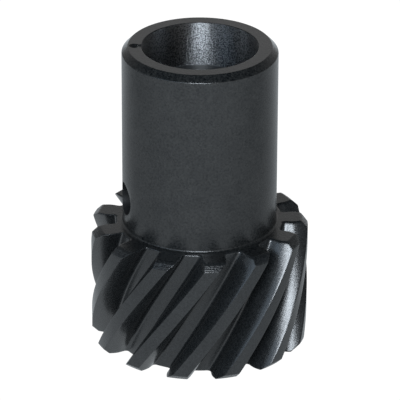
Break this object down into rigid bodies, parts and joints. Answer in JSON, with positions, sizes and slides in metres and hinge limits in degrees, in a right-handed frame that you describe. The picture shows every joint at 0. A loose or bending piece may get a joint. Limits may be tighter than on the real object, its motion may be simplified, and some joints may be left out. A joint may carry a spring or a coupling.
{
  "type": "helical gear",
  "caption": "Black-finished helical drive gear with a plain hub, a stepped shaft bore and a slotted spring pin across the hub.",
  "frame": {"origin": "centre of the flat face at the toothed end, on the gear's axis", "axes": "+Z along the axis from the toothed end to the hub end, X along the cross hole and the spring pin in it, with the timing mark near -X"},
  "size_m": [0.0314, 0.0314, 0.0458],
  "materials": {
    "gear_steel": "machined steel with a satin black-oxide coating, fine turning marks on the hub and bore and hobbing marks on the teeth",
    "pin_steel": "rolled spring steel, dark oiled"
  },
  "bodies": {
    "gear": {"helical_gear": "gear_steel"},
    "pin": {"roll_pin": "pin_steel"}
  },
  "joints": [
    {"name": "pin_drive_out", "type": "slide", "parent": "gear", "child": "pin", "axis": [1, 0, 0], "range_m": [-0.0215, 0.0215]}
  ]
}
